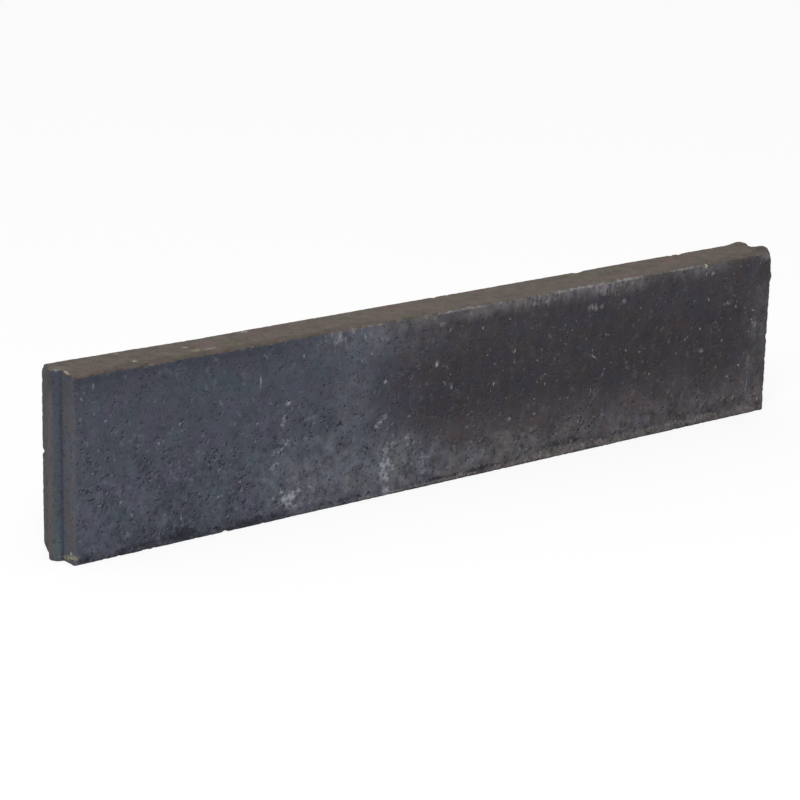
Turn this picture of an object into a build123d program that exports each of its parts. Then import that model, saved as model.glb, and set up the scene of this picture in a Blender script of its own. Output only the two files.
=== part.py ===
from build123d import *
import os

# Concrete edging kerb, cast as one piece. It stands on its long narrow face.
# X runs along the kerb, Y through its thickness and Z up.
# The origin is the middle of the base, halfway between the shoulders of the two ends.

# Block
length = 1000.0  # working length, from the shoulders of one end to the shoulders of the other
thickness = 60.0
height = 200.0

# Tongue, which stands out of the -X end over the full height
tongue_base = 20.0  # width where it leaves the shoulders
tongue_nose = 8.0  # width of its outer face
tongue_reach = 10.0
tongue_nose_radius = 2.0

# Groove in the +X end, which takes the tongue of the next kerb
joint_side_clearance = 1.0  # at each flank, along Y
joint_end_clearance = 1.0  # between the tongue's nose and the groove's floor
groove_floor_radius = 2.0

# Arrises
top_arris_radius = 4.0  # long edges of the visible top
base_arris_radius = 1.5  # long edges of the base
end_arris_radius = 2.0  # upright edges of the two ends

# Places and sizes that follow from the ones above
shoulder_x = length / 2
tongue_tip_x = -shoulder_x - tongue_reach
groove_mouth = tongue_base + 2 * joint_side_clearance
groove_floor = tongue_nose + 2 * joint_side_clearance
groove_floor_x = shoulder_x - tongue_reach - joint_end_clearance

with BuildPart() as kerb_stone:
    # Upright section with its arrises rounded, drawn out from the tongue's tip to the far shoulders
    with BuildSketch(Plane.YZ.offset(tongue_tip_x)) as section:
        Rectangle(thickness, height, align=(Align.CENTER, Align.MIN))
        fillet(section.vertices().group_by(Axis.Y)[-1], radius=top_arris_radius)
        fillet(section.vertices().group_by(Axis.Y)[0], radius=base_arris_radius)
    extrude(amount=length + tongue_reach)

    # Plan seen from above, which trims the ends of that bar to the tongue and the groove
    with BuildSketch(Plane.XY) as plan:
        Rectangle(length, thickness)
        fillet(plan.vertices(), radius=end_arris_radius)
        with BuildLine():
            Polyline(
                (-shoulder_x, -tongue_base / 2),
                (tongue_tip_x, -tongue_nose / 2),
                (tongue_tip_x, tongue_nose / 2),
                (-shoulder_x, tongue_base / 2),
                close=True,
            )
        make_face()
        nose_corners = plan.vertices().group_by(Axis.X)[0]
        fillet(nose_corners, radius=tongue_nose_radius)
        with BuildLine():
            Polyline(
                (shoulder_x, -groove_mouth / 2),
                (groove_floor_x, -groove_floor / 2),
                (groove_floor_x, groove_floor / 2),
                (shoulder_x, groove_mouth / 2),
                close=True,
            )
        make_face(mode=Mode.SUBTRACT)
        floor_corners = plan.vertices().sort_by_distance((groove_floor_x, 0))[:2]
        fillet(floor_corners, radius=groove_floor_radius)
        end_corners = plan.vertices().group_by(Axis.X)[-1]
        mouth_corners = end_corners.sort_by_distance((shoulder_x, 0))[:2]
        fillet(mouth_corners, radius=end_arris_radius)
    extrude(amount=height, mode=Mode.INTERSECT)

kerb_stone.part.label = "kerb_stone"

os.makedirs("parts", exist_ok=True)
export_step(kerb_stone.part, "parts/kerb_stone.step")
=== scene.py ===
import bpy
import bmesh
import numpy as np
from math import radians
from mathutils import Euler, Matrix, Vector


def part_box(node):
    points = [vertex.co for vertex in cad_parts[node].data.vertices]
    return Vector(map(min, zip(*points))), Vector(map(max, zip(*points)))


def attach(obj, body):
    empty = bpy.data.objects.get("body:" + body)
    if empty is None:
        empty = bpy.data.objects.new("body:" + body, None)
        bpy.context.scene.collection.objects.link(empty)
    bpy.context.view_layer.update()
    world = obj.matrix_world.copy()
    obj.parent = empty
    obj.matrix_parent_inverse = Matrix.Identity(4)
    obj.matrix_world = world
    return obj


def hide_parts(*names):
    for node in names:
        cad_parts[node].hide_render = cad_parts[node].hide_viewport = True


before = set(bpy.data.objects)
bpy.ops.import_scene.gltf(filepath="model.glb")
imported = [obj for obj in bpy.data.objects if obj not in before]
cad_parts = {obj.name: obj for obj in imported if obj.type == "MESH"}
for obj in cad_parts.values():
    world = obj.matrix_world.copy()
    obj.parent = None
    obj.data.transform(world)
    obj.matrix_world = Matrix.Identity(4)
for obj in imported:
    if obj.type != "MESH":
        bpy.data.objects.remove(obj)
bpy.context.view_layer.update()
low, high = (Vector(corner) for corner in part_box("kerb_stone"))
print("frame loaded, kerb box", [round(v, 4) for v in (*low, *high)])

# Camera

photoView = {  # fitted to the kerb's own corners
    "place": (-1.941, -2.346, 0.983),
    "yaw": 38.83,  # degrees to the right of straight on
    "pitch": 16.40,  # degrees down
    "roll": 1.33,
    "lens": 126.2,
    "sensor": 36.0,
    "reach": 100.0,
}


def addCamera():
    bpy.ops.object.camera_add(location=photoView["place"])
    camera = bpy.context.object
    aim = Euler((radians(90 - photoView["pitch"]), 0, radians(-photoView["yaw"]))).to_matrix()
    camera.rotation_euler = (aim @ Matrix.Rotation(radians(photoView["roll"]), 3, "Z")).to_euler()
    camera.data.sensor_fit = "HORIZONTAL"
    camera.data.sensor_width = photoView["sensor"]
    camera.data.lens = photoView["lens"]
    camera.data.clip_end = photoView["reach"]
    bpy.context.scene.camera = camera


addCamera()
print("camera placed")

# Kerb mesh

kerbShape = {
    "tongueBase": 0.020,
    "tongueNose": 0.008,
    "tongueReach": 0.010,
    "grooveMouth": 0.022,
    "grooveFloor": 0.010,
    "grooveDepth": 0.011,
    "edgeBand": 0.008,  # strip beside each arris that gets the finer grid
    "bandCuts": 5,
    "heightCuts": 60,
    "shoulderCuts": 6,
    "middleCuts": 8,
    "jointCuts": 5,
    "lengthCuts": (7, 47),  # coarse, then each of those again
    "squareOn": 0.9,  # a face that looks along the kerb has more than this of its normal that way
    "slack": 1e-5,
}
left = low.x + kerbShape["tongueReach"]  # shoulders of the tongued end
floorX = high.x - kerbShape["grooveDepth"]  # floor of the groove


def pick(kind, test):  # in edit mode, select only the vertices, edges or faces that pass
    bpy.ops.mesh.select_mode(type=kind)
    bpy.ops.mesh.select_all(action="DESELECT")
    mesh = bmesh.from_edit_mesh(bpy.context.object.data)
    for item in {"VERT": mesh.verts, "EDGE": mesh.edges, "FACE": mesh.faces}[kind]:
        item.select = bool(test(item))
    mesh.select_flush_mode()
    bmesh.update_edit_mesh(bpy.context.object.data)


def sliceAt(axis, place):
    normal = [float(i == axis) for i in range(3)]
    bpy.ops.mesh.select_all(action="SELECT")
    bpy.ops.mesh.bisect(plane_co=[place * n for n in normal], plane_no=normal)


def divide(axis, start, end, cuts):  # cut the edges that run along an axis between two places
    def runsAlong(edge):
        a, b = (v.co for v in edge.verts)
        step = [abs(b[i] - a[i]) for i in range(3)]
        near, far = sorted((a[axis], b[axis]))
        slack = kerbShape["slack"]
        return step[axis] > max(step) - slack and near > start - slack and far < end + slack

    pick("EDGE", runsAlong)
    bpy.ops.mesh.subdivide(number_cuts=cuts)


def widen(test, factor):  # move the picked vertices nearer to or further from the kerb's middle plane
    pick("VERT", test)
    bpy.ops.transform.resize(value=(1, factor, 1), center_override=(0, 0, 0))


def drawOut(test, reach):
    pick("FACE", test)
    bpy.ops.mesh.extrude_region_move(TRANSFORM_OT_translate={"value": (reach, 0, 0)})


def addKerb():
    shape = kerbShape
    slack = shape["slack"]
    squareOn = shape["squareOn"]
    base = shape["tongueBase"] / 2
    size = (floorX - left, high.y - low.y, high.z - low.z)
    middle = ((floorX + left) / 2, (high.y + low.y) / 2, (high.z + low.z) / 2)
    bpy.ops.object.select_all(action="DESELECT")
    bpy.ops.mesh.primitive_cube_add(size=1, location=middle, scale=size)
    kerb = bpy.context.object
    kerb.name = "kerb_body"
    bpy.ops.object.transform_apply(location=True, rotation=True, scale=True)
    bpy.ops.object.mode_set(mode="EDIT")
    for place in (-base, base):
        sliceAt(1, place)

    # tongue
    taper = shape["tongueNose"] / shape["tongueBase"]
    drawOut(lambda f: f.normal.x < -squareOn and abs(f.calc_center_median().y) < base, -shape["tongueReach"])
    widen(lambda v: v.co.x < low.x + slack, taper)

    # groove, left open between two walls
    narrow = shape["grooveFloor"] / shape["tongueBase"]
    flare = shape["grooveMouth"] / shape["grooveFloor"]
    widen(lambda v: v.co.x > floorX - slack and abs(v.co.y) < base + slack, narrow)
    drawOut(lambda f: f.normal.x > squareOn and abs(f.calc_center_median().y) > base, shape["grooveDepth"])
    widen(lambda v: v.co.x > high.x - slack and abs(v.co.y) < base, flare)

    # fine grid, closer together beside the arrises
    band = shape["edgeBand"]
    for place in (low.z + band, high.z - band):
        sliceAt(2, place)
    for place in (low.y + band, high.y - band):
        sliceAt(1, place)
    sliceAt(0, left + band)
    divide(2, low.z, low.z + band, shape["bandCuts"])
    divide(2, high.z - band, high.z, shape["bandCuts"])
    divide(2, low.z + band, high.z - band, shape["heightCuts"])
    divide(1, low.y, low.y + band, shape["bandCuts"])
    divide(1, high.y - band, high.y, shape["bandCuts"])
    divide(1, low.y + band, -shape["tongueNose"] / 2, shape["shoulderCuts"])
    divide(1, shape["tongueNose"] / 2, high.y - band, shape["shoulderCuts"])
    divide(1, -base, base, shape["middleCuts"])
    divide(0, low.x, left, shape["jointCuts"])
    divide(0, floorX, high.x, shape["jointCuts"])
    divide(0, left, left + band, shape["bandCuts"])
    for cuts in shape["lengthCuts"]:
        divide(0, left + band, floorX, cuts)
    bpy.ops.mesh.select_all(action="SELECT")
    bpy.ops.mesh.normals_make_consistent(inside=False)
    bpy.ops.object.mode_set(mode="OBJECT")
    bpy.ops.object.shade_smooth()
    print("kerb grid", len(kerb.data.vertices), "vertices", len(kerb.data.polygons), "faces")
    return kerb


kerb = addKerb()

# Worn arrises

wear = {
    "topReach": 0.0055,  # how far from the arris the rounding runs
    "topRounds": 4,
    "endReach": 0.0030,
    "endRounds": 2,
    "smoothing": 0.5,  # of each round
    # depth, size and detail of each noise, and the values between which its bites begin
    "uneven": (0.0008, 0.11, 1, None),  # slow waviness of the cast faces
    "ragged": (0.0008, 0.0060, 2, (0.42, 0.72)),  # fine bites along the arrises
    "chips": (0.0026, 0.017, 2, (0.68, 0.79)),  # larger, rarer ones
    "pits": (0.0007, 0.0046, 1, (0.66, 0.78)),
    "foot": (0.0024, 0.0075, 2, (0.48, 0.66)),  # honeycombed strip just above the foot beside the tongue
    "skin": (0.00035, 0.0035, 1, None),  # sandy skin
    "raggedReach": 0.0045,
    "chipReach": 0.0075,
    "footHeight": 0.0065,
    "footSpan": (-0.475, -0.385, -0.335, -0.235),  # x where it starts, is full, and ends again
    "firmShare": 0.4,  # how much of the fine bites the base and the back arrises get
    "calmShare": 0.3,  # how much of the pitting shows on top and ends
    "spill": (  # x, and how far the top's colour runs down the face there
        (-0.500, -0.460, -0.250),
        (0.0036, 0.0024, 0.0013),
    ),
    "nudges": (  # place, move and reach of each corner that was knocked or cast proud
        ((-0.500, 0.030, 0.0), (0.001, -0.001, 0.003), 0.010),
        ((-0.500, -0.030, 0.2), (0.001, 0.0004, 0.0), 0.008),
        ((-0.505, 0.0, 0.2), (0.0, 0.0, 0.0020), 0.220),
        ((-0.505, -0.008, 0.2), (0.0, 0.0, 0.0036), 0.028),
        ((0.498, 0.021, 0.2), (0.0, 0.0, 0.0034), 0.020),
        ((0.497, -0.016, 0.2), (0.0, 0.0, 0.0056), 0.022),
        ((0.489, 0.0, 0.2), (0.0, 0.0, 0.0032), 0.012),
        ((0.500, -0.030, 0.2), (-0.0008, 0.0008, -0.0016), 0.009),
        ((0.500, -0.030, 0.172), (0.0022, 0.0, 0.0), 0.009),
    ),
}


def arrisGap(points):  # distance from each point to the nearest long, upright or end arris
    x, y, z = points.T
    side = np.minimum(np.abs(y - low.y), np.abs(y - high.y))
    flat = np.minimum(np.abs(z - low.z), np.abs(z - high.z))
    end = np.minimum(np.abs(x - left), np.abs(x - high.x))
    return np.minimum(np.minimum(np.hypot(side, flat), np.hypot(side, end)), np.hypot(flat, end))


def readPoints(kerb):
    flatList = np.empty(len(kerb.data.vertices) * 3)
    kerb.data.vertices.foreach_get("co", flatList)
    return flatList.reshape(-1, 3)


def roundArrises(kerb):
    points = readPoints(kerb)
    side = np.minimum(np.abs(points[:, 1] - low.y), np.abs(points[:, 1] - high.y))
    topGap = np.hypot(side, points[:, 2] - high.z)
    noseGap = np.hypot(points[:, 0] - low.x, np.abs(points[:, 1]) - kerbShape["tongueNose"] / 2)
    mouthGap = np.hypot(points[:, 0] - high.x, np.abs(points[:, 1]) - kerbShape["grooveMouth"] / 2)
    endGap = np.minimum(arrisGap(points), np.minimum(noseGap, mouthGap))
    bpy.ops.object.mode_set(mode="EDIT")
    for gap, reach, rounds in ((topGap, "topReach", "topRounds"), (endGap, "endReach", "endRounds")):
        near = gap < wear[reach]
        pick("VERT", lambda v: near[v.index])
        bpy.ops.mesh.vertices_smooth(factor=wear["smoothing"], repeat=wear[rounds])
    bpy.ops.object.mode_set(mode="OBJECT")


def nudgeCorners(kerb):  # pull a corner, and what is near it follows
    bpy.ops.object.mode_set(mode="EDIT")
    for place, move, reach in wear["nudges"]:
        mesh = bmesh.from_edit_mesh(kerb.data)
        nearest = min(mesh.verts, key=lambda v: (v.co - Vector(place)).length).index
        pick("VERT", lambda v: v.index == nearest)
        bpy.ops.transform.translate(
            value=move,
            use_proportional_edit=True,
            proportional_edit_falloff="SMOOTH",
            proportional_size=reach,
        )
    bpy.ops.object.mode_set(mode="OBJECT")


def cloudTexture(name, size, detail, ramp):
    texture = bpy.data.textures.new(name, "CLOUDS")
    texture.noise_scale = size
    texture.noise_depth = detail
    if ramp:  # nothing below the first value, all of it above the second
        texture.use_color_ramp = True
        for stop, place, shade in zip(texture.color_ramp.elements, ramp, (0, 1)):
            stop.position = place
            stop.color = (shade, shade, shade, 1)
    return texture


def displace(kerb, name, weights=None):  # bites go in only, the other noises both ways
    depth, size, detail, ramp = wear[name]
    modifier = kerb.modifiers.new(name, "DISPLACE")
    modifier.texture = cloudTexture(name, size, detail, ramp)
    modifier.texture_coords = "LOCAL"
    modifier.strength = -depth if ramp else depth
    modifier.mid_level = 0.0 if ramp else 0.5
    if weights is not None:
        group = kerb.vertex_groups.new(name=name)
        for index in np.flatnonzero(weights > 0):
            group.add([int(index)], float(weights[index]), "REPLACE")
        modifier.vertex_group = name
    bpy.ops.object.modifier_apply(modifier=modifier.name)


def keepTop(kerb):  # the top as cast, so that its colour follows the worn arrises
    x, y, z = readPoints(kerb).T
    spill = np.where(y < low.y + kerbShape["slack"], np.interp(x, *wear["spill"]), kerbShape["slack"])
    store = kerb.data.attributes.new("topSide", "FLOAT", "POINT")
    store.data.foreach_set("value", np.clip(1 - (high.z - z) / spill, 0, 1))


def keepDepth(kerb, name, start, full):  # how far each point went in, for the concrete's colour
    depth = np.linalg.norm(readPoints(kerb) - start, axis=1)
    store = kerb.data.attributes.new(name, "FLOAT", "POINT")
    store.data.foreach_set("value", np.clip(depth / full, 0, 1))


def roughen(kerb):
    start = readPoints(kerb)
    gap = arrisGap(start)
    band = kerbShape["edgeBand"]
    firm = np.where((start[:, 2] < low.z + band) | (start[:, 1] > high.y - band), wear["firmShare"], 1.0)
    footGap = np.hypot(start[:, 1] - low.y, start[:, 2] - low.z)
    footSpan = np.interp(start[:, 0], wear["footSpan"], (0, 1, 1, 0))
    displace(kerb, "uneven")
    start = readPoints(kerb)
    displace(kerb, "ragged", np.clip(1 - gap / wear["raggedReach"], 0, 1) * firm)
    displace(kerb, "chips", np.clip(1 - gap / wear["chipReach"], 0, 1))
    keepDepth(kerb, "bitten", start, wear["chips"][0])
    start = readPoints(kerb)
    calm = (start[:, 2] > high.z - band) | (start[:, 0] < left) | (start[:, 0] > floorX)
    displace(kerb, "pits", np.where(calm, wear["calmShare"], 1.0))
    strip = np.clip(1 - np.abs(footGap / wear["footHeight"] - 1), 0, 1)
    displace(kerb, "foot", strip * footSpan)
    keepDepth(kerb, "hollow", start, wear["pits"][0])
    displace(kerb, "skin")


keepTop(kerb)
roundArrises(kerb)
nudgeCorners(kerb)
roughen(kerb)
print("arrises worn")

# Shader wiring


class Wire:  # one output of a node tree, with maths on it
    def __init__(self, tree, socket):
        self.tree = tree
        self.socket = socket

    def add(self, kind, settings=None, values=None, out=0):  # any node: settings first, then its sockets
        node = self.tree.nodes.new(kind)
        for name, value in (settings or {}).items():
            setattr(node, name, value)
        for name, value in (values or {}).items():
            if isinstance(value, Wire):
                self.tree.links.new(value.socket, node.inputs[name])
            else:
                node.inputs[name].default_value = value
        return Wire(self.tree, node.outputs[out]) if len(node.outputs) else None

    def maths(self, operation, first, second=0.0):
        return self.add("ShaderNodeMath", {"operation": operation}, {0: first, 1: second})

    def __add__(self, other):
        return self.maths("ADD", self, other)

    def __radd__(self, other):
        return self.maths("ADD", other, self)

    def __sub__(self, other):
        return self.maths("SUBTRACT", self, other)

    def __rsub__(self, other):
        return self.maths("SUBTRACT", other, self)

    def __mul__(self, other):
        return self.maths("MULTIPLY", self, other)

    def __rmul__(self, other):
        return self.maths("MULTIPLY", other, self)

    def most(self, other):
        return self.maths("MAXIMUM", self, other)

    def rise(self, start, end):  # 0 at start, 1 at end, smooth between; falls where end is the smaller
        values = {"Value": self, "From Min": start, "From Max": end}
        return self.add("ShaderNodeMapRange", {"interpolation_type": "SMOOTHSTEP"}, values)

    def paint(self, under, over):  # over the colour below by this much
        return self.add("ShaderNodeMix", {"data_type": "RGBA"}, {0: self, 6: under, 7: over}, 2)

    def shade(self, colour):  # colour times this
        settings = {"data_type": "RGBA", "clamp_factor": False}
        return self.add("ShaderNodeMix", settings, {0: self, 6: (0, 0, 0, 1), 7: colour}, 2)


def tone(red, green, blue):  # a colour as the eye reads it, 0 to 255
    def linear(value):
        share = value / 255
        return share / 12.92 if share <= 0.04045 else ((share + 0.055) / 1.055) ** 2.4

    return (linear(red), linear(green), linear(blue), 1)


# Concrete

colours = {
    "slate": tone(71, 74, 85),  # tongued half of the face
    "teal": tone(66, 76, 84),
    "plum": tone(73, 72, 88),
    "scorched": tone(58, 54, 59),  # grooved half
    "umber": tone(61, 55, 56),
    "ink": tone(53, 53, 61),
    "ash": tone(83, 78, 81),  # foot of the grooved half
    "ashCool": tone(75, 78, 87),
    "ashWarm": tone(87, 78, 80),
    "mist": tone(91, 94, 103),  # pale cloud between the halves
    "mistWarm": tone(93, 94, 99),
    "haze": tone(96, 94, 96),  # pale band under the top
    "lime": tone(158, 160, 168),  # lime that came out of the face
    "limeWarm": tone(128, 122, 125),  # the same in the grooved half
    "top": tone(96, 88, 82),
    "topWarm": tone(101, 88, 84),
    "topMoss": tone(94, 90, 78),
    "shoulder": tone(83, 83, 89),
    "shoulderCool": tone(79, 84, 93),
    "shoulderWarm": tone(85, 82, 84),
    "nose": tone(83, 81, 82),
    "noseArris": tone(87, 81, 83),
    "flank": tone(71, 80, 87),
    "flankHigh": tone(70, 72, 86),
    # painted shade where the tongue's flank meets the shoulder
    "root": tone(62, 65, 76),
    "socket": tone(71, 73, 79),
    # painted shade: the dark put into pits, hollows and voids and along the foot
    "pitShade": tone(33, 33, 41),
    "pitShadeCool": tone(33, 38, 52),  # the same in the tongued half
    "rim": tone(112, 115, 126),  # pale grains, and the painted highlight on the lit side of a pit
    "gritAndLitSide": tone(106, 103, 105),  # the same in the grooved half
    "speckAndArrisGlint": tone(140, 139, 142),
    "speckCool": tone(130, 134, 143),
    "straw": tone(126, 125, 102),
    # worn top arris of the tongue, with a painted highlight
    "ledge": tone(122, 121, 114),
    "cream": tone(164, 160, 148),
    "dirt": tone(107, 101, 103),
    "silt": tone(101, 97, 93),
    "flake": tone(130, 124, 124),
    "raw": tone(124, 117, 110),  # broken arris, and the painted highlight on the worn top front arris
}
concrete = {
    "roughness": 0.86,
    "shine": 0.22,
    "backShare": 0.6,  # how much of the front's weathering the back gets
    "softRim": 0.25,  # how far into its oval a mark fades in
    "limeCover": 0.9,
    "pitCover": 0.86,
    "endPitCover": 0.22,  # pits of the two ends
    "litSide": (-0.0010, 0, 0.0011),  # from a pit to the side of it that catches the light
    "grainHeight": 0.0006,
    "mottleHeight": 0.0012,
    "pitDepth": 0.0009,
    "bumpStrength": 0.8,
}
clouds = {  # size, detail, roughness and shift of each noise, and its scale upwards
    "warp": (0.05, 4, 0.6, 0.0, 1),
    "slow": (0.14, 2, 0.5, 3.0, 1),
    "grain": (0.0025, 2, 0.6, 4.0, 1),
    "mottle": (0.016, 4, 0.62, 5.0, 1),
    "hue": (0.030, 2, 0.5, 6.0, 1),
    "crowd": (0.035, 4, 0.6, 7.0, 1),  # where the pits are close together
    "holes": (0.0043, 3, 0.66, 8.0, 1),
    "pale": (0.0070, 3, 0.64, 9.0, 1),
    "specks": (0.0060, 2, 0.5, 10.0, 1),
    "clump": (0.0075, 5, 0.72, 11.0, 1),
    "runs": (0.005, 3, 0.6, 12.0, 0.3),
    "edge": (0.007, 3, 0.6, 13.0, 1),
    "topWarm": (0.045, 3, 0.5, 14.0, 1),
    "topMoss": (0.030, 3, 0.5, 15.0, 1),
    "tint": (0.030, 4, 0.65, 18.0, 1),
    "drips": (0.010, 3, 0.5, 19.0, 0.2),
    "flake": (0.0034, 3, 0.7, 20.0, 1),
    "pricks": (0.0030, 2, 0.6, 21.0, 1),  # the smallest pits
}
zones = {  # where each place starts and where it is full, in metres; it may run down an axis
    # along the kerb
    "grooved": (-0.160, -0.020),
    "limeWarm": (-0.04, 0.10),
    "arrisShadeSpan": (-0.20, -0.28),
    "tongue": (-0.4948, -0.4996),
    "groovedEnd": (0.4968, 0.4995),
    "socketDepth": (0.4850, 0.4885),
    "soiledLeft": (0.10, -0.25),
    "soiledStart": (-0.495, -0.450),
    "soiledRight": (0.30, 0.42),
    "dimTop": (-0.1, -0.4),
    # through it
    "front": (-0.024, -0.028),
    "back": (0.024, 0.028),
    "backShoulder": (0.004, 0.010),
    "noseFront": (-0.0055, -0.0040),
    "noseMiddle": (0.0050, 0.0010),
    "soiledStrip": (-0.012, -0.021),
    # out from its middle plane
    "tongueSide": (0.0112, 0.0100),
    "flankSide": (0.0096, 0.0072),
    "noseSide": (0.0058, 0.0038),
    # the same, squared
    "socketSide": (0.0120 ** 2, 0.0105 ** 2),
    "rimBand": (0.0250 ** 2, 0.0285 ** 2),
    # upwards
    "upper": (0.005, 0.090),
    "foot": (0.075, 0.020),
    "sparse": (0.095, 0.160),
    "calm": (0.100, 0.150),
    "lower": (0.120, 0.060),
    "underTop": (0.165, 0.195),
    "paler": (0.125, 0.180),
    "strip": (0.190, 0.1945),
    "shoulderTop": (0.165, 0.185),
    "noseBelow": (0.182, 0.165),
    "noseTop": (0.172, 0.190),
    "flankHigh": (0.120, 0.190),
    "flankFoot": (0.060, 0.025),
}
layers = {  # value where each layer starts to show, value where it is full, and how much it covers
    "teal": (0.52, 0.70, 0.7),
    "plum": (0.48, 0.30, 0.8),
    "umber": (0.50, 0.62, 0.8),
    "ink": (0.50, 0.38, 0.8),
    "ashCool": (0.50, 0.66, 0.8),
    "ashWarm": (0.52, 0.62, 0.8),
    "mist": (0.05, 1.0, 1),
    "mistCool": (0.42, 0.60, 1),
    "haze": (0.05, 1.1, 0.9),
    "crowd": (0.40, 0.55, 1),
    "lime": (0.30, 1.15, 1),
    "streak": (0.45, 1.40, 1),
    "pits": (0.455, 0.345, 1),
    "lit": (0.455, 0.345, 0.42),
    "pale": (0.56, 0.72, 1),
    "pricks": (0.380, 0.300, 0.55),
    "specks": (0.690, 0.750, 0.74),
    "voidShade": (0.25, 0.90, 0.82),
    "dirt": (0.20, 0.95, 0.85),
    "silt": (0.45, 0.60, 1),
    "flake": (0.07, 0.17, 1),
    "base": (0.0030, 0.0010, 0.35),
    "shoulderCool": (0.45, 0.62, 1),
    "shoulderWarm": (0.50, 0.62, 0.8),
    "top": (0.18, 0.55, 1),
    "topWarm": (0.42, 0.62, 1),
    "topMoss": (0.52, 0.68, 1),
    "raw": (0.25, 0.8, 0.5),
    "hollow": (0.3, 1.0, 0.4),
    "arris": (0.40, 1.15, 0.85),
    "knock": (0.30, 1.0, 1),
    "sunk": (0.420, 0.330, 1),
}
faceMarks = {  # middle x and z, half width and height, turn in degrees, strength
    "mist": (
        (-0.172, 0.040, 0.155, 0.085, 0, 0.82),
        (-0.090, 0.030, 0.115, 0.078, 0, 1.00),
        (-0.142, 0.110, 0.060, 0.120, 0, 0.50),
        (-0.135, 0.196, 0.115, 0.058, 0, 0.85),
        (-0.210, 0.100, 0.110, 0.090, 0, 0.20),
        (-0.140, 0.020, 0.060, 0.022, 0, 1.05),
        (0.030, 0.023, 0.065, 0.032, 0, 0.55),
        (-0.035, 0.029, 0.075, 0.036, 0, 1.00),
    ),
    "haze": (
        (-0.050, 0.199, 0.110, 0.030, 0, 0.80),
        (0.055, 0.200, 0.125, 0.028, 0, 1.05),
        (0.180, 0.200, 0.140, 0.026, 0, 0.82),
        (0.260, 0.199, 0.074, 0.027, 0, 0.92),
        (0.370, 0.200, 0.130, 0.026, 0, 0.75),
        (0.460, 0.200, 0.070, 0.026, 0, 0.36),
        (-0.040, 0.170, 0.110, 0.050, 0, 0.35),
        (0.490, 0.110, 0.070, 0.150, 0, 0.55),
        (0.090, 0.027, 0.085, 0.045, 0, 0.70),
        (0.160, 0.030, 0.090, 0.026, 0, 0.40),
        (0.465, 0.022, 0.060, 0.035, 0, 0.45),
    ),
    "lime": (
        (-0.227, 0.023, 0.020, 0.019, 0, 0.88),
        (-0.096, 0.030, 0.017, 0.034, 0, 0.84),
        (-0.093, 0.057, 0.018, 0.013, 0, 0.9),
        (-0.063, 0.057, 0.012, 0.015, 0, 0.65),
        (-0.060, 0.026, 0.070, 0.036, 0, 0.34),
        (-0.092, 0.006, 0.014, 0.012, 0, 0.95),
        (-0.103, 0.090, 0.022, 0.009, -45, 0.65),
        (-0.237, 0.083, 0.024, 0.012, -45, 0.75),
        (-0.248, 0.060, 0.020, 0.012, -45, 0.38),
        (-0.235, 0.110, 0.018, 0.010, -60, 0.6),
        (-0.230, 0.131, 0.008, 0.007, 0, 0.6),
        (-0.100, 0.133, 0.009, 0.006, 0, 0.7),
        (-0.100, 0.182, 0.010, 0.006, 0, 0.9),
        (-0.018, 0.186, 0.008, 0.008, 0, 0.6),
        (-0.025, 0.141, 0.006, 0.008, 0, 0.9),
        (-0.003, 0.111, 0.006, 0.006, 0, 0.9),
        (0.477, 0.113, 0.006, 0.006, 0, 0.8),
        (0.428, 0.147, 0.018, 0.006, 0, 0.8),
        (0.387, 0.093, 0.007, 0.006, 0, 0.8),
        (0.447, 0.025, 0.006, 0.006, 0, 1.0),
        (-0.227, 0.026, 0.050, 0.026, 0, 0.40),
        (-0.486, 0.178, 0.010, 0.004, 0, 0.38),
    ),
    "streak": (  # thin upright runs
        (-0.267, 0.160, 0.004, 0.020, 0, 0.8),
        (-0.476, 0.187, 0.004, 0.010, 0, 1.05),
        (-0.157, 0.192, 0.062, 0.025, 0, 0.88),
        (0.090, 0.160, 0.006, 0.050, 0, 0.8),
        (0.143, 0.143, 0.005, 0.020, 0, 0.7),
        (0.469, 0.048, 0.0050, 0.060, 0, 1.10),
        (0.130, 0.195, 0.070, 0.017, 0, 1.15),
        (0.225, 0.194, 0.065, 0.022, 0, 1.35),
        (0.213, 0.1725, 0.040, 0.0085, 0, 1.15),
        (0.256, 0.1740, 0.016, 0.0085, 0, 1.05),
    ),
    # worn top front arris, with a painted highlight along it
    "arris": (
        (0.190, 0.1988, 0.140, 0.0030, 0, 1.05),
        (0.255, 0.1988, 0.075, 0.0030, 0, 0.95),
        (0.020, 0.1985, 0.100, 0.0028, 0, 0.8),
        (0.350, 0.1988, 0.080, 0.0026, 0, 0.75),
        (-0.130, 0.1985, 0.090, 0.0025, 0, 0.8),
        (-0.285, 0.1985, 0.070, 0.0023, 0, 0.5),
    ),
    "dirt": (
        (0.090, 0.0040, 0.055, 0.0055, 0, 0.90),
        (0.165, 0.0060, 0.075, 0.0095, 0, 1.15),
        (0.240, 0.0050, 0.060, 0.0075, 0, 1.00),
        (0.310, 0.0065, 0.070, 0.0085, 0, 0.90),
        (0.385, 0.0075, 0.075, 0.0075, 0, 0.88),
        (0.455, 0.0055, 0.065, 0.0080, 0, 0.88),
        (-0.060, 0.0034, 0.190, 0.0026, 0, 0.80),
    ),
    "voidShade": (  # painted shade: dark strip of voids along the foot
        (-0.365, 0.008, 0.036, 0.017, 0, 1.25),
        (-0.440, 0.002, 0.070, 0.010, 0, 0.75),
        (-0.487, 0.004, 0.026, 0.012, 0, 0.75),
        (-0.275, 0.003, 0.090, 0.012, 0, 0.9),
        (-0.160, 0.0065, 0.090, 0.0045, 0, 0.7),
        (-0.020, 0.0065, 0.080, 0.0045, 0, 0.7),
        (0.045, 0.0070, 0.060, 0.0055, 0, 0.9),
        (0.165, 0.0165, 0.060, 0.0070, 0, 0.55),
        (0.245, 0.0125, 0.055, 0.0060, 0, 0.50),
        (0.400, 0.0150, 0.050, 0.0050, 0, 0.35),
    ),
}
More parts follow.
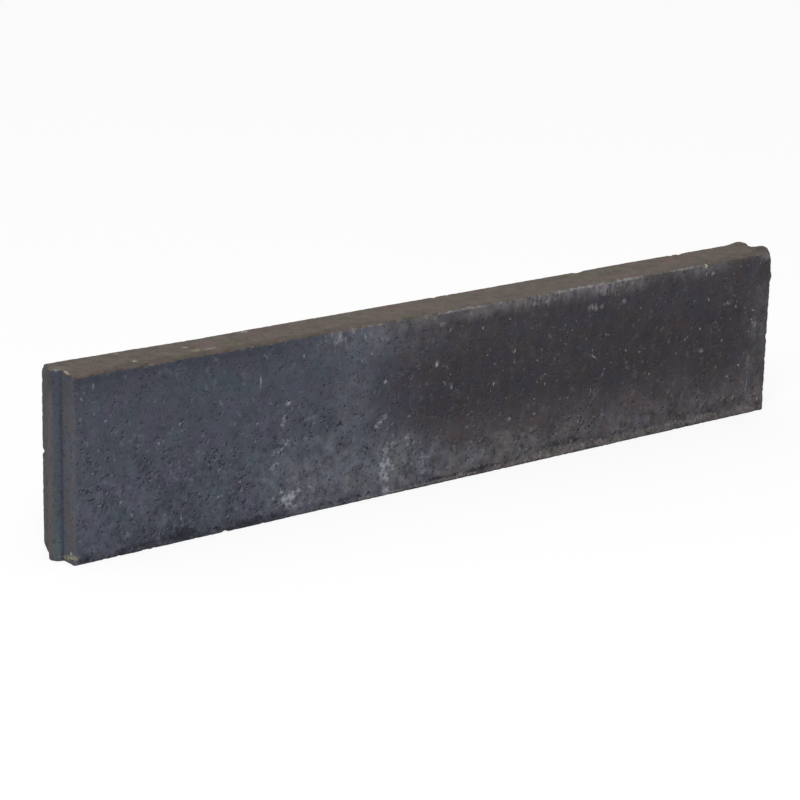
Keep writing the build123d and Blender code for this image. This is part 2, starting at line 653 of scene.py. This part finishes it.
knocks = (  # middle, half sizes, colour and strength of the marks on top and corners
    ((-0.336, -0.010, 0.200), (0.013, 0.009, 0.02), "straw", 0.9),
    ((-0.319, -0.012, 0.200), (0.013, 0.008, 0.02), "raw", 1.0),
    ((-0.339, 0.006, 0.200), (0.007, 0.008, 0.02), "cream", 0.6),
    ((-0.251, 0.023, 0.200), (0.009, 0.006, 0.02), "cream", 0.8),
    ((-0.415, 0.022, 0.200), (0.008, 0.006, 0.02), "raw", 0.8),
    ((-0.414, -0.013, 0.200), (0.006, 0.008, 0.02), "cream", 0.7),
    # pale fleck and ledge on the tongue's top arris: wear, with a painted highlight
    ((-0.500, -0.020, 0.2042), (0.004, 0.012, 0.0036), "cream", 0.85),
    ((-0.505, -0.007, 0.2052), (0.009, 0.008, 0.0036), "ledge", 1.0),
    ((-0.500, 0.025, 0.2020), (0.010, 0.014, 0.0080), "nose", 1.0),
    ((-0.500, -0.0260, 0.0085), (0.013, 0.012, 0.0055), "straw", 1.0),
    ((-0.500, -0.0165, 0.0050), (0.013, 0.012, 0.0040), "straw", 0.9),
    ((-0.506, -0.0080, 0.0045), (0.008, 0.007, 0.0026), "straw", 0.7),
    ((-0.500, -0.0235, 0.0110), (0.005, 0.0045, 0.0055), "cream", 0.75),
    ((-0.500, -0.0210, 0.0070), (0.012, 0.014, 0.0024), "cream", 0.8),
    ((0.491, -0.029, 0.1965), (0.016, 0.010, 0.010), "gritAndLitSide", 1.0),
    ((0.389, -0.029, 0.198), (0.004, 0.008, 0.006), "cream", 0.9),
)


def castConcrete():
    material = bpy.data.materials.new("cast_concrete")
    material.use_nodes = True
    tree = material.node_tree
    shader = tree.nodes["Principled BSDF"]
    where = Wire(tree, tree.nodes.new("ShaderNodeTexCoord").outputs["Object"])
    split = tree.nodes.new("ShaderNodeSeparateXYZ")
    tree.links.new(where.socket, split.inputs[0])
    x, y, z = (Wire(tree, socket) for socket in split.outputs)

    def cloud(name, slide=(0, 0, 0)):
        size, detail, rough, shift, upwards = clouds[name]
        values = {"Vector": where, "Scale": (1, 1, upwards), "Location": [shift + step for step in slide]}
        spot = where.add("ShaderNodeMapping", None, values)
        values = {"Vector": spot, "Scale": 1 / size, "Detail": detail, "Roughness": rough}
        return where.add("ShaderNodeTexNoise", None, values)

    def swing(name):  # the same, to both sides of 0
        return cloud(name) - 0.5

    def stored(name):  # what the mesh keeps at its points
        return where.add("ShaderNodeAttribute", {"attribute_name": name}, None, 2)

    def oval(middle, halves, turn=0):  # 1 in the middle, 0 at its rim
        values = {"Vector": where, "Location": middle, "Rotation": (0, radians(turn), 0), "Scale": halves}
        spot = where.add("ShaderNodeMapping", {"vector_type": "TEXTURE"}, values)
        ball = where.add("ShaderNodeTexGradient", {"gradient_type": "SPHERICAL"}, {"Vector": spot}, 1)
        return ball.rise(0.0, 1.0)

    def marked(name, faces):  # the strongest of the face marks of that name, on those faces
        total = None
        for cx, cz, rx, rz, turn, strength in faceMarks[name]:
            mark = oval((cx, 0, cz), (rx, 1, rz), turn) * strength
            total = mark if total is None else total.most(mark)
        return total * faces

    def zone(along, name):
        return along.rise(*zones[name])

    def show(value, name, inside=None):  # how much of a layer shows, by a value and only inside a mark
        begin, full, cover = layers[name]
        shown = value.rise(begin, full)
        if inside is not None:
            shown = shown * inside.rise(0.0, concrete["softRim"])
        return shown if cover == 1 else shown * cover

    front = zone(y, "front")
    flanks = front.most(zone(y, "back") * concrete["backShare"])
    warp = swing("warp")
    slow = swing("slow")
    grain = swing("grain")
    mottle = swing("mottle")
    hue = cloud("hue")
    tint = cloud("tint")
    clump = swing("clump")
    flake = swing("flake")
    drips = swing("drips")

    # the two halves of the face, with the pale cloud and band
    across = zone(x + warp * 0.12 + mottle * 0.06 - z * 0.1, "grooved")
    upward = zone(z + warp * 0.08 + mottle * 0.04, "upper")
    scorch = across * upward
    foot = zone(z, "foot") * across
    slate = show(hue, "teal").paint(colours["slate"], colours["teal"])
    slate = show(hue, "plum").paint(slate, colours["plum"])
    dark = show(tint, "umber").paint(colours["scorched"], colours["umber"])
    dark = show(tint, "ink").paint(dark, colours["ink"])
    ash = show(hue, "ashCool").paint(colours["ash"], colours["ashCool"])
    ash = show(tint, "ashWarm").paint(ash, colours["ashWarm"])
    colour = across.paint(slate, upward.paint(ash, dark))
    mist = show(marked("mist", flanks) * (1 + warp * 1.6 + mottle * 1.5), "mist")
    colour = mist.paint(colour, show(hue, "mistCool").paint(colours["mistWarm"], colours["mist"]))
    haze = show(marked("haze", flanks) * (1 + warp * 1.2 + mottle * 1.6), "haze")
    colour = haze.paint(colour, colours["haze"])

    # how light each place is
    crowd = show(cloud("crowd"), "crowd") * (1 - scorch * 0.35)
    crowd = crowd * (1 - mist * 0.3) * (1 - zone(z, "sparse") * (0.85 - across * 0.4))
    calm = zone(z, "calm") * (1 - across)
    lower = zone(z, "lower") * (1 - across)
    contrast = 1.05 - calm * 0.40 - scorch * 0.15 + foot * 1.5 + lower * 0.15
    level = 1 + slow * 0.15 + mottle * contrast + drips * (0.2 + across * 0.2) + grain * 0.4
    level = level + lower * (0.16 + clump * 1.70 - crowd * 0.20)
    level = level - zone(z, "underTop") * (1 - across) * (1 - mist) * 0.16
    level = level + scorch * zone(z, "paler") * 0.15
    # painted shade: a thin dark line just under the top arris, towards the tongued end
    level = level - zone(z, "strip") * zone(x, "arrisShadeSpan") * 0.10
    colour = level.shade(colour)

    # lime, in blooms and in upright runs
    limeColour = zone(x, "limeWarm").paint(colours["lime"], colours["limeWarm"])
    limed = marked("lime", flanks)
    lime = show(limed * 0.95 + clump * 3.4, "lime", limed)
    streaked = marked("streak", front)
    streak = show(streaked * 0.75 + swing("runs") * 3.2, "streak", streaked)
    colour = (lime.most(streak) * concrete["limeCover"]).paint(colour, limeColour)

    # pits with painted shade in them and a painted highlight on their lit side, pale grains and specks
    thin = (1 - crowd.most(limed * 0.7)) * 0.075
    holes = cloud("holes")
    pits = show(holes + thin, "pits")
    lit = show(cloud("holes", concrete["litSide"]) + thin, "lit")
    pale = show(cloud("pale"), "pale") * (0.30 + crowd * 0.30 - across * 0.05 + foot * 0.5)
    rim = across.paint(colours["rim"], colours["gritAndLitSide"])
    colour = pale.paint(colour, rim)
    # painted highlight on the lit side of each pit
    colour = lit.paint(colour, rim)
    pitShadeColour = across.paint(colours["pitShadeCool"], colours["pitShade"])
    colour = (pits * concrete["pitCover"]).paint(colour, pitShadeColour)
    colour = show(cloud("pricks") + thin * 0.7, "pricks").paint(colour, pitShadeColour)
    specks = show(cloud("specks") - (1 - across) * 0.020, "specks")
    colour = specks.paint(colour, across.paint(colours["speckCool"], colours["speckAndArrisGlint"]))

    # foot: painted shade in the voids, mostly under the tongued half, and pale dirt under the other
    shadedVoids = marked("voidShade", front)
    colour = show(shadedVoids * 0.9 + clump * 4.2, "voidShade", shadedVoids).paint(colour, colours["pitShade"])
    soil = marked("dirt", flanks)
    dirt = show(soil + flake * 2.2 + clump * 3.4, "dirt", soil)
    dirtColour = show(hue, "silt").paint(colours["dirt"], colours["silt"])
    dirtColour = show(flake, "flake").paint(dirtColour, colours["flake"])
    dirtColour = (1 + clump * 1.4 + flake * 1.4).shade(dirtColour)
    colour = dirt.paint(colour, dirtColour)
    # painted contact shadow: a thin dark line along the very bottom
    colour = show(z, "base").paint(colour, colours["pitShade"])

    # ends: the tongue's flank is blue, with painted shade darkest at its root
    tongue = zone(x + clump * 0.006, "tongue")
    socket = zone(y * y, "socketSide") * zone(x, "socketDepth")
    endMask = tongue.most(zone(x + clump * 0.004, "groovedEnd")).most(socket)
    shoulder = show(hue, "shoulderCool").paint(colours["shoulder"], colours["shoulderCool"])
    shoulder = show(tint, "shoulderWarm").paint(shoulder, colours["shoulderWarm"])
    shoulder = (1 - zone(z, "shoulderTop") * 0.16).shade(shoulder)
    shoulder = zone(y, "backShoulder").paint(shoulder, colours["nose"])
    noseArris = zone(y, "noseFront") * zone(y, "noseMiddle") * zone(z, "noseBelow")
    nose = noseArris.paint(colours["nose"], colours["noseArris"])
    nose = (1 - zone(z, "noseTop") * 0.2).shade(nose)
    outward = y.maths("ABSOLUTE", y)
    flank = zone(z, "flankHigh").paint(colours["flank"], colours["flankHigh"])
    flank = (1 + zone(z, "flankFoot") * 0.26).shade(flank)
    flank = zone(outward, "flankSide").paint(colours["root"], flank)
    tongueColour = zone(outward, "noseSide").paint(flank, nose)
    endColour = (zone(outward, "tongueSide") * tongue).paint(shoulder, tongueColour)
    endColour = socket.paint(endColour, colours["socket"])
    endColour = (1 + mottle * 0.5 + grain * 0.4).shade(endColour)
    # painted shade in the pits of the ends
    endColour = (pits * concrete["endPitCover"]).paint(endColour, colours["pitShade"])
    colour = endMask.paint(colour, endColour)

    # top, with a darker strip along its front arris
    topEdge = 1 + swing("edge") * zone(y * y, "rimBand") * 4.5
    topMask = show(stored("topSide") * topEdge, "top")
    topColour = show(cloud("topWarm"), "topWarm").paint(colours["top"], colours["topWarm"])
    topColour = show(cloud("topMoss"), "topMoss").paint(topColour, colours["topMoss"])
    soiled = zone(x, "soiledLeft") * zone(x, "soiledStart") + zone(x, "soiledRight") * 0.7
    soiled = zone(y, "soiledStrip") * soiled * (1 + clump * 1.5)
    topLevel = 1 - zone(x, "dimTop") * 0.05 - soiled * 0.20 + mottle * 1.3 + grain * 0.6
    colour = topMask.paint(colour, topLevel.shade(topColour))

    # broken arrises show the raw mix; the hollows get painted shade
    colour = show(stored("bitten") + clump * 0.6, "raw").paint(colour, colours["raw"])
    colour = show(stored("hollow"), "hollow").paint(colour, colours["pitShade"])
    # pale line along the top front arris: wear, and a painted highlight where it catches the light
    wornAndLitArris = marked("arris", front)
    worn = show(wornAndLitArris + clump * 3.6, "arris", wornAndLitArris)
    colour = worn.paint(colour, across.paint(colours["raw"], colours["speckAndArrisGlint"]))
    for middle, halves, name, strength in knocks:
        spot = oval(middle, halves) * strength
        colour = show(spot * 1.2 + flake * 2.6, "knock", spot).paint(colour, colours[name])

    tree.links.new(colour.socket, shader.inputs["Base Color"])
    height = grain * concrete["grainHeight"] + mottle * concrete["mottleHeight"]
    height = height - show(holes, "sunk") * concrete["pitDepth"]
    values = {"Strength": concrete["bumpStrength"], "Distance": 1.0, "Height": height}
    bump = where.add("ShaderNodeBump", None, values)
    tree.links.new(bump.socket, shader.inputs["Normal"])
    roughness = concrete["roughness"] + mottle * 0.2 - pits * 0.05
    tree.links.new(roughness.socket, shader.inputs["Roughness"])
    shader.inputs["Specular IOR Level"].default_value = concrete["shine"]
    return material


kerb.data.materials.append(castConcrete())
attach(kerb, "root")
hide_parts("kerb_stone")
print("concrete on the kerb")

# Floor and light

studio = {
    "floorSize": 60.0,
    "floorDrop": 0.0003,
    "floorColour": (0.9, 0.9, 0.9, 1),
    "floorGlow": 0.78,
    "glowStrength": 1.06,
    "skyStrength": 0.62,
    "keyPlace": (-1.8, -1.6, 2.6),
    "keyAim": (0, 0, 0.1),
    "keySize": 1.6,
    "keyPower": 45,
}


def seenDirectly(tree):  # 1 for rays that show the backdrop, 0 for rays that light the kerb
    light = tree.nodes.new("ShaderNodeLightPath")
    kinds = ("Is Camera Ray", "Is Glossy Ray", "Is Transmission Ray")
    direct, mirrored, passed = (Wire(tree, light.outputs[kind]) for kind in kinds)
    return direct.most(mirrored).most(passed)


def addFloor():
    bpy.ops.object.select_all(action="DESELECT")
    bpy.ops.mesh.primitive_plane_add(size=studio["floorSize"], location=(0, 0, low.z - studio["floorDrop"]))
    floor = bpy.context.object
    floor.name = "floor"
    material = bpy.data.materials.new("floor_paint")
    material.use_nodes = True
    tree = material.node_tree
    tree.nodes.clear()
    seen = seenDirectly(tree)
    matt = seen.add("ShaderNodeBsdfDiffuse", None, {"Color": studio["floorColour"]})
    glow = seen.add("ShaderNodeEmission", None, {"Color": (1, 1, 1, 1), "Strength": studio["glowStrength"]})
    both = seen.add("ShaderNodeMixShader", None, {0: seen * studio["floorGlow"], 1: matt, 2: glow})
    seen.add("ShaderNodeOutputMaterial", None, {"Surface": both})
    floor.data.materials.append(material)


def addSky():
    world = bpy.data.worlds.new("studio")
    bpy.context.scene.world = world
    world.use_nodes = True
    tree = world.node_tree
    tree.nodes.clear()
    seen = seenDirectly(tree)
    strength = seen + (1 - seen) * studio["skyStrength"]
    sky = seen.add("ShaderNodeBackground", None, {"Color": (1, 1, 1, 1), "Strength": strength})
    seen.add("ShaderNodeOutputWorld", None, {"Surface": sky})


def addKeyLamp():
    bpy.ops.object.light_add(type="AREA", location=studio["keyPlace"])
    lamp = bpy.context.object
    lamp.name = "key"
    lamp.data.shape = "DISK"
    lamp.data.size = studio["keySize"]
    lamp.data.energy = studio["keyPower"]
    beam = Vector(studio["keyAim"]) - Vector(studio["keyPlace"])
    lamp.rotation_euler = beam.to_track_quat("-Z", "Y").to_euler()


addFloor()
addSky()
addKeyLamp()
bpy.context.scene.view_settings.view_transform = "Standard"
print("floor and light set")
